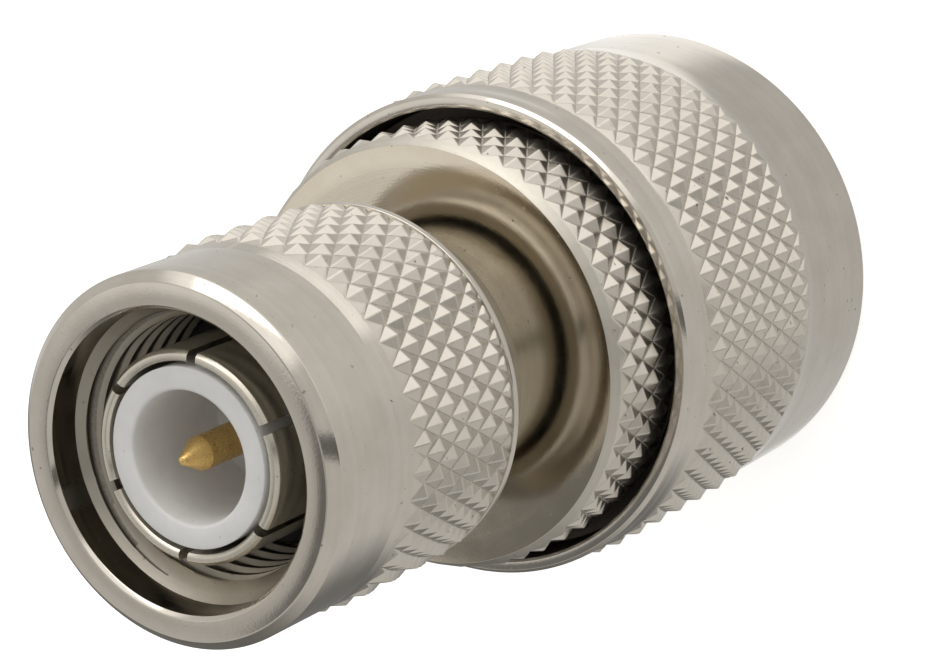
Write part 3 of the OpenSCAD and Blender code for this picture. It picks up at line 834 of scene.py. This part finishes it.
# The small nut's mouth and thread take the darker nickel as painted shade.
zone_material(nut, THREAD_SHADE_NICKEL, (SMALL.mouth_r, JOURNAL_Z, SMALL.nut_high - SMALL.mouth_depth))
zone_material(nut, MATT_NICKEL, (SMALL.crest_r, SMALL.nut_low - SLACK, SMALL.nut_low + SLACK))
nut = finish_piece(make_large_nut(), NICKEL, "large_nut", "n_nut")
knurl_material(nut, KNURL_NICKEL)
zone_material(
    nut, MATT_NICKEL, (LARGE.mouth_r, LARGE.mouth_depth, LARGE.gasket_high),
    (LARGE.recess_r + EDGE, LARGE.nut_high - EDGE, LARGE.nut_high - SLACK)
)
# Rear recess, ring groove and bore above the gasket painted nearly black: painted shade with some dirt.
zone_material(nut, RECESS_DIRT_AND_SHADE_NICKEL, (LARGE.recess_r + CRISP, LARGE.gasket_high, LARGE.nut_high - EDGE))
flange = finish_piece(make_main_body(), NICKEL, "adapter_body", "main_body")
zone_material(flange, BRIGHT_NICKEL, (FLANGE_R, FLANGE_Z - SLACK, FLANGE_Z + SLACK))
zone_material(flange, MATT_NICKEL, (FLANGE_R + KNURL_STEP, FLANGE_Z - FLANGE_BAND, FLANGE_Z - SLACK))
knurl_material(flange, KNURL_NICKEL)
finish_piece(make_neck(), SMOOTH_NICKEL, "adapter_body", "tnc_body")
finish_piece(make_small_insulator(), PTFE, "adapter_body", "tnc_insulator")
finish_piece(make_large_insulator(), PTFE, "adapter_body", "n_insulator")
finish_piece(make_small_pin(), GOLD, "adapter_body", "tnc_pin")
finish_piece(make_large_pin(), GOLD, "adapter_body", "n_pin")
gasket = make_gasket("small_gasket_dress", SMALL, SMALL_CONTACT_R)
finish_piece(gasket, RUBBER, "adapter_body", "tnc_gasket")
gasket = make_gasket("large_gasket_dress", LARGE, LARGE_CONTACT_R)
finish_piece(gasket, RUBBER, "adapter_body", "n_gasket")
ring = make_ring("small_ring_dress", SMALL)
finish_piece(ring, BRONZE, "adapter_body", "tnc_retaining_ring")
ring = make_ring("large_ring_dress", LARGE)
finish_piece(ring, BRONZE, "adapter_body", "n_retaining_ring")


# Stage
def make_floor():
    """Pale floor; the metal mirrors the studio below it instead of the floor itself."""
    size = 1500.0
    build = Build()
    corners = [(-size, -size, 0), (size, -size, 0), (size, size, 0), (-size, size, 0)]
    build.faces.append(tuple(build.add(corners)))
    obj = build.object("floor")
    mat, n = material("floor")
    place = n.place()[0]
    tint = n.mix(n.ramp(n.noise(place, 0.02, 3.0, 0.5), 0.3, 0.7), (0.86, 0.86, 0.86), (0.9, 0.9, 0.9))
    n.surface(Base_Color=tint, Roughness=0.9, Emission_Color=(1.0, 0.995, 0.985), Emission_Strength=0.62)
    obj.data.materials.append(mat)
    obj.visible_glossy = False
    obj.visible_shadow = False


def direction(azimuth, elevation):
    """Unit vector towards a place seen at an azimuth and elevation; azimuth 0 is in front, at -Y."""
    a, e = math.radians(azimuth), math.radians(elevation)
    return Vector((math.sin(a) * math.cos(e), -math.cos(a) * math.cos(e), math.sin(e)))


def make_key_light():
    """Soft panel on the window's side, aimed at the flange."""
    data = bpy.data.lights.new("key", "AREA")
    data.shape = "RECTANGLE"
    data.size, data.size_y = 0.34, 0.22
    data.energy = 0.34
    data.color = (1.0, 0.985, 0.96)
    obj = bpy.data.objects.new("key", data)
    way, distance = direction(28, 18), 0.40
    obj.location = Vector((0, 0, FLANGE_Z * MM)) + way * distance
    obj.rotation_euler = way.to_track_quat("Z", "Y").to_euler()
    bpy.context.scene.collection.objects.link(obj)


class Sky:
    """Colours of the studio seen in each direction, painted one patch over another."""

    def __init__(self, nodes, colour):
        self.n = nodes
        self.colour = colour
        self.way = nodes.new("ShaderNodeTexCoord").outputs["Generated"]
        parts = nodes.new("ShaderNodeSeparateXYZ")
        nodes.put(parts.inputs[0], self.way)
        self.height = parts.outputs[2]
        square = nodes.math("MULTIPLY", self.height, self.height)
        self.level = nodes.math("SQRT", nodes.math("SUBTRACT", 1.0, square))

    def towards(self, azimuth, elevation):
        """Cosine of the angle to a direction."""
        node = self.n.new("ShaderNodeVectorMath", operation="DOT_PRODUCT")
        self.n.put(node.inputs[0], self.way)
        self.n.put(node.inputs[1], tuple(direction(azimuth, elevation)))
        return node.outputs["Value"]

    def spot(self, azimuth, elevation, inner, outer):
        """Share of a round patch, from all at the inner angle to none at the outer one."""
        return self.n.ramp(
            self.towards(azimuth, elevation), math.cos(math.radians(outer)), math.cos(math.radians(inner))
        )

    def sector(self, azimuth, inner, outer):
        """Share of an upright sector."""
        near = self.n.math("DIVIDE", self.towards(azimuth, 0), self.level)
        return self.n.ramp(near, math.cos(math.radians(outer)), math.cos(math.radians(inner)))

    def above(self, low, high):
        """Share that grows from none at the low elevation to all at the high one."""
        return self.n.ramp(self.height, math.sin(math.radians(low)), math.sin(math.radians(high)))

    def both(self, *shares):
        """Share that lies in all of the given patches."""
        out = shares[0]
        for share in shares[1:]:
            out = self.n.math("MULTIPLY", out, share)
        return out

    def paint(self, share, level, tint=(1.0, 0.985, 0.95)):
        """Paints a patch over what is there, at a level of brightness."""
        self.colour = self.n.mix(share, self.colour, tuple(level * c for c in tint))


def make_world():
    """Soft studio: a pale table, a bright window side, a dark side across from it and a few panels."""
    world = bpy.data.worlds.new("studio")
    world.use_nodes = True
    n = Nodes(world.node_tree)
    sky = Sky(n, (0.66, 0.65, 0.625))
    ceiling = sky.above(40, 60)
    low_front = sky.both(sky.sector(20, 40, 90), sky.above(0, -48))
    table = sky.above(-54, -60)
    bright_table = sky.both(sky.sector(112, 36, 66), sky.above(-54, -59), sky.above(-76, -68))
    dark_side = sky.both(sky.sector(163, 22, 72), sky.above(-59, -55), sky.above(38, 10))
    side_panel = sky.both(sky.sector(94, 32, 46), sky.above(-59, -53), sky.above(44, 30))
    low_card = sky.both(sky.sector(350, 14, 40), sky.above(-38, -33), sky.above(-8, -18))
    window = sky.both(sky.sector(27, 30, 46), sky.above(-44, -40), sky.above(51, 40))
    high_panel = sky.spot(112, 56, 13, 20)
    high_flag = sky.spot(160, 57, 7, 11)
    stripe = sky.both(sky.sector(300, 3, 9), sky.above(-38, -30), sky.above(64, 52))
    for share, level in (
        (ceiling, 0.50), (low_front, 0.76), (table, 0.61), (bright_table, 1.16), (dark_side, 0.18),
        (side_panel, 0.70), (low_card, 1.05), (window, 1.34), (high_panel, 0.95), (high_flag, 0.19),
        (stripe, 0.16)
    ):
        sky.paint(share, level)
    back = n.new("ShaderNodeBackground")
    n.put(back.inputs["Color"], sky.colour)
    n.put(back.inputs["Strength"], 1.0)
    out = n.new("ShaderNodeOutputWorld")
    n.tree.links.new(back.outputs[0], out.inputs[0])
    bpy.context.scene.world = world


def make_camera():
    """Camera at the photo's viewpoint; the lean turns the picture about the line of sight."""
    data = bpy.data.cameras.new("camera")
    data.lens = 123.58
    data.sensor_width = 36.0
    data.sensor_fit = "HORIZONTAL"
    data.clip_start, data.clip_end = 0.005, 20.0
    obj = bpy.data.objects.new("camera", data)
    azimuth, elevation, lean = -35.886, 54.269, math.radians(113.119)
    target, distance = Vector((0.106, -0.076, 16.612)) * MM, 134.614 * MM
    back = direction(azimuth, elevation)
    level = Vector((0, 0, 1)).cross(back).normalized()
    up = back.cross(level) * math.cos(lean) + level * math.sin(lean)
    turn = Matrix((up.cross(back), up, back)).transposed()
    obj.matrix_world = Matrix.Translation(target + back * distance) @ turn.to_4x4()
    bpy.context.scene.collection.objects.link(obj)
    bpy.context.scene.camera = obj


make_floor()
make_world()
make_key_light()
make_camera()
bpy.context.scene.view_settings.view_transform = "Standard"
